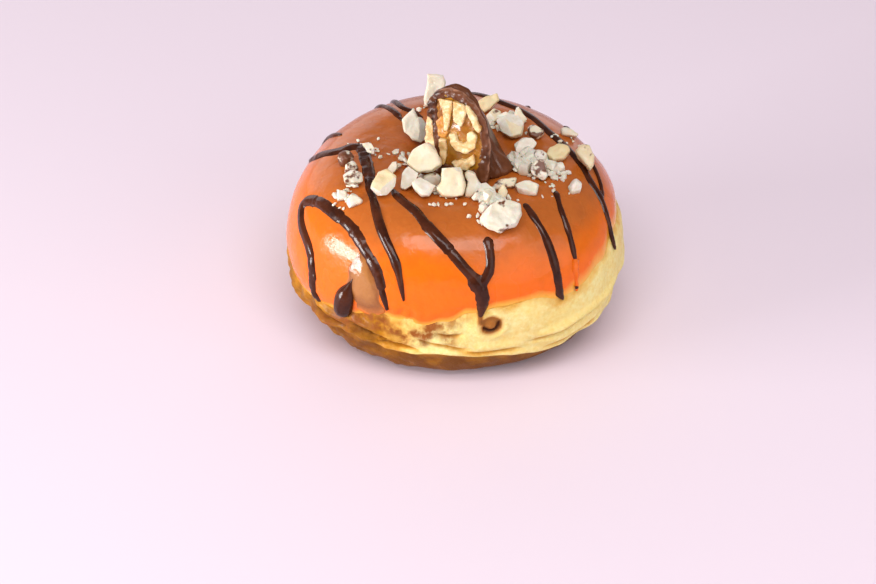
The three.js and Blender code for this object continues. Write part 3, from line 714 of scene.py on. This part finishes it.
# Each nut's outline (across, up), thickness, how far it faces up, smoothing of its skin,
# breaks, how waxy yellow it is, and how far chocolate stains it. One without an outline
# is broken from its solid.
NUTS = {
    1: ([(-3.4, 1.6), (-0.3, 4.9), (0.5, 2.2), (1.8, 1.9), (3.5, 0.3), (2.9, -2.2), (3.5, -2.7),
         (1.8, -4.6), (-0.4, -3.8), (-2.9, -1.9), (-3.1, -0.3)], 2.4, 40, 2, 2, 0.15, 0),
    2: ([(-4.9, -1.4), (-3.3, 1.9), (-0.5, 4.4), (2.2, 3.6), (4.4, -0.3), (4.7, -1.9), (2.2, -3.6),
         (-1.6, -4.1)], 4.6, 40, 14, 2, 0.5, 0),
    3: ([(-2.2, -3), (-1.9, 0.8), (0, 3.6), (2.7, 1.4), (1.1, -1.9), (-1.1, -3.5)],
        3.6, 45, 4, 3, 0.55, 0),
    4: ([], 0, 0, 4, 4, 0.3, 0.1),
    5: ([(-3.3, 1.1), (-1.1, 2.5), (1.1, 1.6), (3.3, 0.6), (1.4, -2.5), (-0.5, -2.4), (-2.5, -0.5)],
        3.2, 50, 2, 3, 0.05, 0),
    6: ([(-2.7, 4.4), (1.1, 4.8), (2.7, 2.7), (3.3, -0.5), (2.9, -3.8), (0, -4.4), (-2.7, -3.8),
         (-4.1, -1.9), (-2.9, 0), (-2.9, 2.2)], 4.8, 35, 10, 3, 0.55, 0),
    7: ([(-2.2, 2.7), (-0.3, 3.6), (2.1, -0.3), (1.4, -1.9), (-0.8, -3.8), (-2.2, -3.6),
         (-1.4, 0.3)], 2.4, 35, 2, 2, 0.25, 0),
    8: ([(-3.3, -1.6), (-1.4, 3), (0.8, 3.8), (3.3, 1.9), (3, -0.8), (0.8, -3.3), (-1.9, -3.7)],
        3.2, 50, 4, 3, 0.85, 0),
    9: ([(-2.2, -1.3), (0, 1.9), (1.9, 2.4), (1.4, 0.5), (-0.5, -2.1)], 1.8, 45, 3, 2, 0.3, 0),
    10: ([(-2.9, 0.6), (-0.9, 1.9), (2.1, 0.8), (2.4, -1.2), (0.2, -2.2), (-2.3, -1.7)],
         3.0, 55, 3, 3, 0.25, 0.4),
    11: ([(-1.4, 1.6), (1.1, 1.2), (1.7, -1.0), (-1.2, -1.6)], 1.8, 50, 2, 2, 0.1, 0.2),
    12: ([(-2, -0.5), (-0.3, 1.9), (2.4, -0.3), (1.9, -1.1), (-1.2, -2.1)], 1.8, 50, 2, 2, 0.1, 0),
    13: ([(-1.6, 1.3), (0.5, 1.8), (2.1, -0.4), (1.9, -2), (0, -1.5)], 2.4, 45, 3, 3, 0.15, 0.2),
    14: ([], 0, 0, 4, 4, 0.3, 0.72),
    15: ([], 0, 0, 3, 5, 0.2, 0.55),
    16: ([(-5.5, -0.5), (-3.8, 2.2), (0.3, 4.9), (5.2, 3.3), (5.4, 0.3), (4.1, -2.7), (-0.3, -4.6),
          (-3.6, -3.6), (-5.5, -1.9)], 3.4, 60, 2, 2, 0.12, 0.15),
    17: ([], 0, 0, 2, 5, 0.1, 0),
    18: ([], 0, 0, 2, 5, 0.1, 0.3),
    19: ([(-1.2, 0.5), (0.2, 2.7), (1.3, 0.5), (0.4, -2.2), (-0.4, -2.7)], 1.6, 40, 2, 0, 0.6, 0),
    20: ([(-3.3, -0.9), (-1.6, 1.1), (3.3, 1.7), (3, -0.9), (0, -0.6), (-1.9, -1.6)],
         1.8, 50, 2, 2, 0.5, 0.2),
    21: ([(-3.2, 0.4), (-2.4, 2.0), (0.9, 2.0), (3.1, 0.9), (2.6, -2.2), (-1.8, -1.4)],
         2.2, 55, 2, 2, 0.1, 0),
    22: ([(-3.8, 1.6), (-0.8, 3.3), (2.5, 2.7), (3.6, 0.5), (3, -2.7), (0.3, -3.3), (-2.5, -1.6)],
         4.0, 45, 3, 3, 0.65, 0),
    23: ([(-1.1, 3.2), (1.8, -0.8), (0.6, -2.4), (-2.1, -0.6)], 2.4, 35, 2, 2, 0.45, 0),
    24: ([(-3.3, -0.3), (-0.5, 1.6), (2.5, 2.7), (2.9, 0.8), (0.5, -1.8), (-1.1, -3)],
         2.8, 45, 9, 0, 0.9, 0),
    25: ([(-2.3, 0), (0.2, 2.1), (2.1, 1.3), (1.8, -0.7), (-0.4, -2.1)], 2.4, 50, 2, 2, 0.45, 0.1),
    26: ([(-2.1, 1.3), (-0.7, 1.8), (1.9, 1.3), (2.2, -0.5), (0.7, -2.1), (-1.3, -1.3)],
         2.4, 55, 2, 2, 0.3, 0.5),
    27: ([(-3.3, -0.8), (-2.5, 1.4), (0.3, 2.5), (3, 1.9), (3.3, 0.5), (1.4, -1.9), (-1.4, -2.7)],
         3.0, 60, 14, 0, 0.95, 0),
    28: ([(-2.7, 1.6), (-1.6, 3.6), (1.1, 3.6), (2.6, 0.5), (2.2, -2.2), (1.1, -3.6), (-0.3, -1.6)],
         3.0, 55, 12, 0, 0.7, 0.4),
    29: ([(-2.4, 1.1), (-1, 1.4), (2.5, -0.5), (1.9, -1.4), (-2.2, -0.7)], 2.0, 50, 2, 0, 0.1, 0),
    30: ([(-3, 0.4), (-0.8, 2.2), (1.9, 2.2), (3, 0.7), (0.8, -2), (-2.2, -2)],
         3.2, 55, 4, 3, 0.2, 0),
    31: ([], 0, 0, 2, 5, 0.1, 0.1),
    32: ([(-2.7, 0.3), (-0.5, 3), (2.2, 2.5), (2.7, -0.8), (1.1, -2.7), (-1.6, -1.4)],
         3.2, 50, 2, 3, 0.1, 0.45),
    33: ([], 0, 0, 2, 5, 0.1, 0),
    34: ([], 0, 0, 2, 5, 0.1, 0),
    35: ([], 0, 0, 2, 5, 0.05, 0),
    36: ([(-1.8, 5.0), (2.7, 4.6), (3.2, 2.6), (2.5, -2), (1.6, -5.2), (-2.6, -5), (-2.5, -2.5),
          (-1.9, 0.5)], 1.7, 12, 2, 0, 0.2, 0),
}
WHITE_SKIN, YELLOW_SKIN, WARM = (0.71, 0.685, 0.61), (0.72, 0.59, 0.34), (0.92, 0.84, 0.70)
WHITE_BREAK, TAN_BREAK = (0.82, 0.785, 0.72), (0.66, 0.58, 0.45)
ICING_STAIN, CHOCOLATE_STAIN = (0.48, 0.23, 0.08), (0.13, 0.036, 0.010)
kernel = Finish("nut", Roughness=0.45, IOR=1.45, Subsurface_Weight=0.2, Subsurface_Scale=0.0012,
                Coat_Weight=0.12, Coat_Roughness=0.3)
waxy = kernel.mix(kernel.spread("wax"), WHITE_SKIN, YELLOW_SKIN)
waxy = kernel.mix(kernel.grain(3.5, 0.3, 0.75, 4), waxy, WARM, "MULTIPLY")
chalky = kernel.mix(kernel.grain(1.4, 0.3, 0.7, 5), WHITE_BREAK, TAN_BREAK)
nut_colour = kernel.mix(kernel.times(kernel.spread("fresh"), 0.8), waxy, chalky)
foot = kernel.times(kernel.spread("sunk"), kernel.grain(3, 0.25, 0.6))
nut_colour = kernel.mix(kernel.times(foot, 0.75), nut_colour, ICING_STAIN)
wet = kernel.math("ADD", kernel.grain(3.2, 0.25, 0.75), kernel.times(kernel.spread("stain"), 0.6))
smudge = kernel.times(kernel.span(wet, 0.76, 0.9), kernel.span(kernel.spread("stain"), 0.0, 0.05))
nut_colour = kernel.mix(smudge, nut_colour, CHOCOLATE_STAIN)
kernel.use(Base_Color=nut_colour, Roughness=kernel.span(kernel.grain(2, detail=4), 0, 1, 0.34, 0.6),
           Normal=kernel.bump(kernel.grain(0.5, 0.2, 0.8, 5, 0.6), 0.07, 0.6))
for number, look in NUTS.items():
    node = f"nut_{number:02d}"
    new_piece("chopped_" + node, broken_nut(node, *look), kernel, "nut", node)


# Crumbs fell in drifts: the middle (x, y), spread, how many, and how big at most.
DRIFTS = [
    (-30, -17, 3.5, 16, 2.0), (-24, 3, 5, 12, 1.5), (-13, -3, 4, 24, 2.6), (-3, -23, 5, 12, 1.7),
    (9, -22, 2.4, 44, 3.4), (7, -30, 1.8, 9, 2.2), (20, -4, 4.0, 90, 4.4), (26, -8, 4, 34, 3.0),
    (15, 15, 4, 30, 4.0), (26, -16, 4, 10, 1.8), (15, -24, 3, 10, 1.7), (0, 14, 7, 14, 1.8),
    (-8, 20, 5, 10, 1.8), (30, 8, 4, 9, 1.8), (-5, -17, 4, 14, 2.6),
]
rng = random.Random(11)
bm = bmesh.new()
for x, y, spread, count, biggest in DRIFTS:
    for _ in range(count):
        angle, turn = on_icing(rng.gauss(x, spread * 0.6), rng.gauss(y, spread * 0.6))
        size = biggest * rng.uniform(0.3, 1.0) * rng.uniform(0.5, 1.0)
        shape = Vector((rng.uniform(0.5, 1), rng.uniform(0.3, 0.7), rng.uniform(0.25, 0.5))) * size
        place, out = surface(angle, turn)
        turned = (out.to_track_quat("Z", "Y").to_matrix().to_4x4()
                  @ Matrix.Rotation(rng.uniform(0, 6.3), 4, "Z")
                  @ Matrix.Rotation(rng.uniform(-0.6, 0.6), 4, "X"))
        made = bmesh.ops.create_icosphere(bm, subdivisions=1, radius=MM)["verts"]
        for v in made:
            v.co = Vector([c * s * rng.uniform(0.7, 1.25) for c, s in zip(v.co, shape)])
        bmesh.ops.transform(bm, verts=made, matrix=Matrix.Translation(
            place + out * (0.1 + 0.35 * size * rng.uniform(0.6, 1.8)) * MM) @ turned)
wax, fresh = bm.faces.layers.float.new("wax"), bm.faces.layers.float.new("fresh")
for face in bm.faces:
    face[wax], face[fresh] = 0.15, rng.random()
new_piece("nut_crumbs", made_mesh("nut_crumbs", bm, turn_out=True), kernel, "nut", flat=True)

# ---------------------------------------------
# Cut piece of bar. A slice of peanut and caramel bar in milk chocolate, stood
# on end over the hole, so its cut face leans back towards the viewer.
# ---------------------------------------------
# Its foot from the ring's middle, how far it is turned to the left, and how far it leans.
BAR_FOOT = Vector((6.2, -15.6, 50.2))
BAR_ROUND, BAR_LEAN = math.radians(-26), math.radians(14)
ALONG = Vector((math.cos(BAR_ROUND), math.sin(BAR_ROUND), 0))
BACK = Vector((-ALONG.y, ALONG.x, 0))
UP = Vector((0, 0, math.cos(BAR_LEAN))) + BACK * math.sin(BAR_LEAN)


def in_bar(u, v, w):
    """A place in the bar piece: along its cut face, into it, and up it."""
    return RING_CENTRE + (BAR_FOOT + ALONG * u + BACK * v + UP * w) * MM


def bar_place(place):
    """How far along its cut face, into it and up it a place lies."""
    here = (place - RING_CENTRE) / MM - BAR_FOOT
    w = here.z / math.cos(BAR_LEAN)
    return here.dot(ALONG), here.dot(BACK) - w * math.sin(BAR_LEAN), w


# The coat's outlines (along, up) at some depths, then those of what fills it.
COAT = [
    (0, [(-17.2, 0.7), (-17.6, 12), (-17.6, 21.5), (-15.8, 24), (-12, 25.4), (-7.5, 25),
         (-3.8, 22.9), (-0.2, 19.2), (1.7, 13.4), (1.9, 6), (1.0, 0.7)]),
    (3.5, [(-17.4, 0.7), (-17.6, 12), (-17, 20.5), (-15, 23.6), (-11.5, 25.4), (-8, 24.6),
           (-5.4, 22.2), (-2.0, 17.4), (0.6, 11.4), (1.8, 5), (2.6, 0.7)]),
    (7, [(-17.1, 0.7), (-17.1, 10), (-16.2, 17), (-14, 20.4), (-11, 21.6), (-7.6, 20.8),
         (-5.2, 17.6), (-3.2, 12.6), (-1.4, 8), (0.6, 4), (3.4, 0.7)]),
    (11, [(-16.6, 0.7), (-16.2, 7.5), (-15, 12), (-12.8, 15), (-10, 16), (-6.8, 15.4),
          (-4.2, 12.4), (-2.2, 8.4), (0.6, 4.8), (3.8, 2.8), (6.2, 0.7)]),
    (16, [(-15.5, 0.7), (-15, 5), (-13.5, 9), (-11.8, 11), (-9.8, 11.8), (-7.6, 11.4),
          (-6.2, 9.8), (-4.8, 7.6), (-3, 5), (-1.2, 2.6), (0.6, 0.7)]),
    (20, [(-13.5, 0.7), (-13, 2), (-12, 3.2), (-10.8, 4), (-9.4, 4.3), (-8, 4.2), (-7, 3.8),
          (-6, 3.2), (-5, 2.4), (-4, 1.5), (-3.2, 0.7)]),
]
CARAMEL = [(-11.2, 3), (-12.6, 9), (-13.8, 14.5), (-15.3, 18.5), (-16.0, 22.6), (-11.2, 24.0),
           (-7.4, 23.2), (-4.2, 20.9), (-1.2, 17.6), (0.4, 11.4), (-0.4, 6), (-2.0, 3)]
NOUGAT = [(-16.6, 2), (-17.2, 9.7), (-17.4, 16.5), (-15.9, 15.5), (-14.6, 10), (-13.1, 2)]
BACK_SHARE, FILLED_TO = 0.72, 4.0


def filling(outline, front, back, grow=0.0):
    """A body with an outline, from one depth to another, narrower at its back."""
    mu = sum(p[0] for p in outline) / len(outline)
    mw = sum(p[1] for p in outline) / len(outline)
    rings = []
    for v, share in ((front, 1.0), (back, BACK_SHARE)):
        ring = []
        for u, w in outline:
            k = (1 + grow / math.hypot(u - mu, w - mw)) * share
            ring.append(in_bar(mu + (u - mu) * k, v, mw + (w - mw) * k))
        rings.append(ring)
    return swept(rings)


def hollowed(mesh, *pockets):
    """The mesh with bodies cut out of it."""
    cutters = [placed("pocket", pocket) for pocket in pockets]
    made = reworked(mesh, *[("BOOLEAN", {"object": cutter, "operation": "DIFFERENCE",
                                         "solver": "EXACT"}) for cutter in cutters])
    for cutter in cutters:
        bpy.data.objects.remove(cutter)
    return made


# The pockets are cut through the face, a little wider and deeper than what fills them.
POCKET_FRONT, POCKET_BACK = -3, 4.2
coat_mesh = softened(swept([[in_bar(u, v, w) for u, w in ring] for v, ring in COAT]), 0.4, 10)
pushed(coat_mesh, lambda p: 0.2)
coat_mesh = hollowed(coat_mesh, filling(CARAMEL, POCKET_FRONT, POCKET_BACK, 0.35),
                     filling(NOUGAT, POCKET_FRONT, POCKET_BACK, 0.3))
coat_mesh = softened(coat_mesh, 0.25, 3)


def coat_push(place):
    """Crumbled on the left, drawn into soft ridges over the top and down the right,
    rough at the cut rim, with a valley and a skirt low on the right."""
    u, v, w = bar_place(place)
    crumbled = smoothstep(-u, 14.6, 16.2) * (0.45 * wave(place, 1.5, 3) + 0.4 * wave(place, 3, 5))
    ridges = smoothstep(u + w * 0.8, 3, 7) * (1 - smoothstep(v, 6, 9)) * smoothstep(v, 0.2, 1.2)
    ridges *= 0.36 * math.sin(3.6 * v + 3 * wave(place, 7, 2))
    cut = (1 - smoothstep(v, 0.4, 1.2)) * 0.3 * wave(place, 1.3, 6)
    low = 1 - smoothstep(w, 10, 15)
    valley = math.exp(-((v - 3.4) / 1.1) ** 2) * smoothstep(u, -2, 0.5) * low
    skirt = math.exp(-((v - 8) / 2.5) ** 2) * smoothstep(u, 0, 3) * (1 - smoothstep(w, 2, 8))
    return (0.3 * wave(place, 6, 1) + 0.1 * wave(place, 2, 4) + crumbled + ridges + cut
            - 1.1 * valley + 0.8 * skirt)


pushed(coat_mesh, coat_push)
bm = bmesh.new()
bm.from_mesh(coat_mesh)
rim_layer, crumb_layer = bm.verts.layers.float.new("rim"), bm.verts.layers.float.new("crumb")
for vert in bm.verts:
    u, v, w = bar_place(vert.co)
    vert[rim_layer] = math.exp(-((v - 0.7) / 0.45) ** 2)
    vert[crumb_layer] = smoothstep(-u, 14.2, 15.6) * (1 - smoothstep(v, 4, 9))
bm.to_mesh(coat_mesh)
bm.free()

DARK_MILK, LIGHT_MILK = (0.062, 0.016, 0.005), (0.15, 0.046, 0.016)
# The pale pinkish rim colour is a painted highlight.
RIM_HIGHLIGHT, CRUMBLED = (0.38, 0.18, 0.11), (0.035, 0.010, 0.004)
milk = Finish("milk_chocolate", Roughness=0.34, IOR=1.46, Specular_IOR_Level=0.2, Coat_Weight=0.15,
              Coat_Roughness=0.14)
coat_colour = milk.ramp(milk.grain(6, 0.3, 0.7, 4), (0.0, DARK_MILK), (1.0, LIGHT_MILK))
# Painted highlight: the coat is lightened to a pale pinkish brown along its cut rim.
painted_rim_highlight = milk.times(milk.spread("rim"), milk.grain(2.2, 0.3, 0.55))
coat_colour = milk.mix(painted_rim_highlight, coat_colour, RIM_HIGHLIGHT)
crumbling = milk.times(milk.spread("crumb"), milk.grain(1.4, 0.35, 0.6))
coat_colour = milk.mix(crumbling, coat_colour, CRUMBLED)
milk.use(Base_Color=coat_colour, Normal=milk.bump(milk.grain(1.2, 0.2, 0.8, 5), 0.16, 0.5))
new_piece("bar_coat", coat_mesh, milk, "milk_chocolate", "bar_chocolate_coat")

AMBER, HONEY = (0.25, 0.075, 0.003), (0.43, 0.19, 0.012)
caramel_mesh = softened(filling(CARAMEL, 0.0, FILLED_TO, 0.3), 0.28, 4)
pushed(caramel_mesh, lambda p: 0.35 * wave(p, 4, 6) + 0.1 * wave(p, 1.4, 8))
amber = Finish("soft_caramel", Roughness=0.22, IOR=1.5, Subsurface_Weight=0.25,
               Subsurface_Scale=0.002, Coat_Weight=0.3, Coat_Roughness=0.15)
amber.use(Base_Color=amber.ramp(amber.grain(4), (0.0, AMBER), (1.0, HONEY)),
          Normal=amber.bump(amber.grain(1.6, 0.2, 0.8), 0.2, 0.5))
new_piece("bar_caramel_core", caramel_mesh, amber, "caramel", "bar_caramel")

BISCUIT, CREAM = (0.66, 0.36, 0.14), (0.86, 0.66, 0.40)
nougat_mesh = softened(filling(NOUGAT, -0.3, FILLED_TO, 0.15), 0.2, 2)
pushed(nougat_mesh, lambda p: 0.35 * wave(p, 1.6, 6) + 0.2 * wave(p, 0.7, 8))
whip = Finish("nougat", Roughness=0.7, IOR=1.4, Subsurface_Weight=0.2, Subsurface_Scale=0.001)
whip.use(Base_Color=whip.ramp(whip.grain(2, 0.35, 0.65, 4), (0.0, BISCUIT), (1.0, CREAM)),
         Normal=whip.bump(whip.grain(0.5, 0.2, 0.8, 5), 0.16, 0.8))
new_piece("bar_nougat_strip", nougat_mesh, whip, "nougat", "bar_nougat")


def roasted(name, dark, light):
    """A peanut's finish, between a dark and a light colour."""
    finish = Finish(name, Roughness=0.42, IOR=1.45, Subsurface_Weight=0.2,
                    Subsurface_Scale=0.001, Coat_Weight=0.2, Coat_Roughness=0.25)
    colour = finish.ramp(finish.grain(2.2, 0.35, 0.6, 4), (0.0, dark), (1.0, light))
    return finish.use(Base_Color=colour,
                      Normal=finish.bump(finish.grain(0.8, 0.2, 0.8, 4), 0.14, 0.7))


roast = roasted("roasted_peanut", (0.58, 0.32, 0.09), (0.72, 0.55, 0.30))
toasted = roasted("caramelled_peanut", (0.42, 0.15, 0.015), (0.62, 0.28, 0.05))
# Outlines of the kernels (along, up). The third lies deeper than the rest, under caramel.
PEANUTS = [
    [(-14.2, 22.6), (-10.3, 22.9), (-10.3, 17), (-10.8, 13.8), (-11.6, 14.2), (-12.3, 18)],
    [(-9.8, 23.0), (-6.6, 22.6), (-5.9, 20.4), (-6.7, 16.2), (-9.2, 17.4)],
    [(-14.4, 15.7), (-13.2, 17.6), (-12.4, 17.8), (-11.6, 13.4), (-10.6, 13.6), (-11.3, 11.6),
     (-13.2, 11.6)],
    [(-13.0, 11.2), (-10.9, 11.4), (-10.3, 8.1), (-10.7, 4.2), (-11.8, 6.0)],
    [(-8.3, 5.6), (-5.8, 7.2), (-4.4, 6.8), (-2.2, 9.2), (-1.5, 7.1), (-3.4, 4.6), (-6.6, 4.0)],
    [(-9.9, 13.4), (-8.4, 13.9), (-7.6, 11.9), (-5.6, 11.5), (-4.5, 12.6), (-4.9, 14.8),
     (-3.4, 15.8), (-1.9, 14.6), (-1.9, 11.4), (-4.5, 9.1), (-7.6, 9.2), (-9.5, 11.0)],
    [(-6.3, 22.9), (-5.2, 22.5), (-2.6, 19.6), (-0.9, 16.9), (-1.5, 16.0), (-2.7, 16.8),
     (-4.7, 19.4), (-6.3, 21.9)],
]
CARAMELLED = 3
for k, outline in enumerate(PEANUTS, 1):
    mesh = softened(filling(outline, -0.4 if k == CARAMELLED else -0.9, 2.5), 0.16, 8)
    pushed(mesh, lambda p: 0.12 + 0.3 * wave(p, 1.8, k) + 0.1 * wave(p, 0.8, k))
    new_piece(f"peanut_{k}", mesh, toasted if k == CARAMELLED else roast, "peanut",
              *[n for n in nodes if n == f"bar_peanut_{k}"])

# ---------------------------------------------
# Floor, light and camera. A pale pinkish floor, a low window of light on the left
# and soft boxes above, in front and behind.
# ---------------------------------------------
FLOOR_HALF, FLOOR_COLOUR = 3.0, (0.84, 0.72, 0.81, 1.0)
bm = bmesh.new()
bmesh.ops.create_grid(bm, x_segments=1, y_segments=1, size=FLOOR_HALF)
floor_mesh = made_mesh("floor", bm)
paper = Finish("pale_floor", Roughness=0.8)
paper.use(Base_Color=FLOOR_COLOUR)
floor_mesh.materials.append(paper.material)
placed("floor", floor_mesh)

SOFT_WHITE, PINKISH = (1.0, 0.97, 0.98), (1.0, 0.92, 0.97)
scene = bpy.context.scene
scene.view_settings.view_transform = "Standard"
world = bpy.data.worlds.new("studio")
scene.world = world
world.use_nodes = True
room = world.node_tree.nodes["Background"].inputs
room["Color"].default_value, room["Strength"].default_value = (*SOFT_WHITE, 1.0), 0.28


def softbox(name, place, size, power, colour=(1, 1, 1), height=0.03):
    """A rectangular lamp at a place, aimed at a height on the doughnut's axis."""
    lamp = bpy.data.lights.new(name, "AREA")
    lamp.shape, lamp.size, lamp.size_y = "RECTANGLE", size[0], size[1]
    lamp.energy, lamp.color = power, colour
    holder = placed(name, lamp)
    holder.location = place
    aim = Vector((0, 0, height)) - Vector(place)
    holder.rotation_euler = aim.to_track_quat("-Z", "Y").to_euler()


softbox("left_box", (-0.78, -0.27, 0.13), (0.42, 0.22), 8.0)
softbox("top_box", (0.0, -0.48, 0.78), (0.85, 0.3), 5.6, SOFT_WHITE)
softbox("front_box", (0.85, -0.9, 0.5), (1.4, 0.9), 5.6)
softbox("back_box", (-0.2, 1.0, 0.3), (1.8, 0.5), 4.0, PINKISH, height=0.04)

# The camera stands off a point in the doughnut.
DISTANCE, ELEVATION = 0.75, math.radians(35.6)
TILT, PAN = math.radians(90 - 36.897), math.radians(0.4515)
looked_at = RING_CENTRE + Vector((0, -1.3, 25)) * MM
lens = bpy.data.cameras.new("camera")
lens.lens, lens.sensor_width = 109.0, 36.0
camera = placed("camera", lens)
camera.location = looked_at + Vector((0, -math.cos(ELEVATION), math.sin(ELEVATION))) * DISTANCE
camera.rotation_euler = (TILT, 0, PAN)
scene.camera = camera
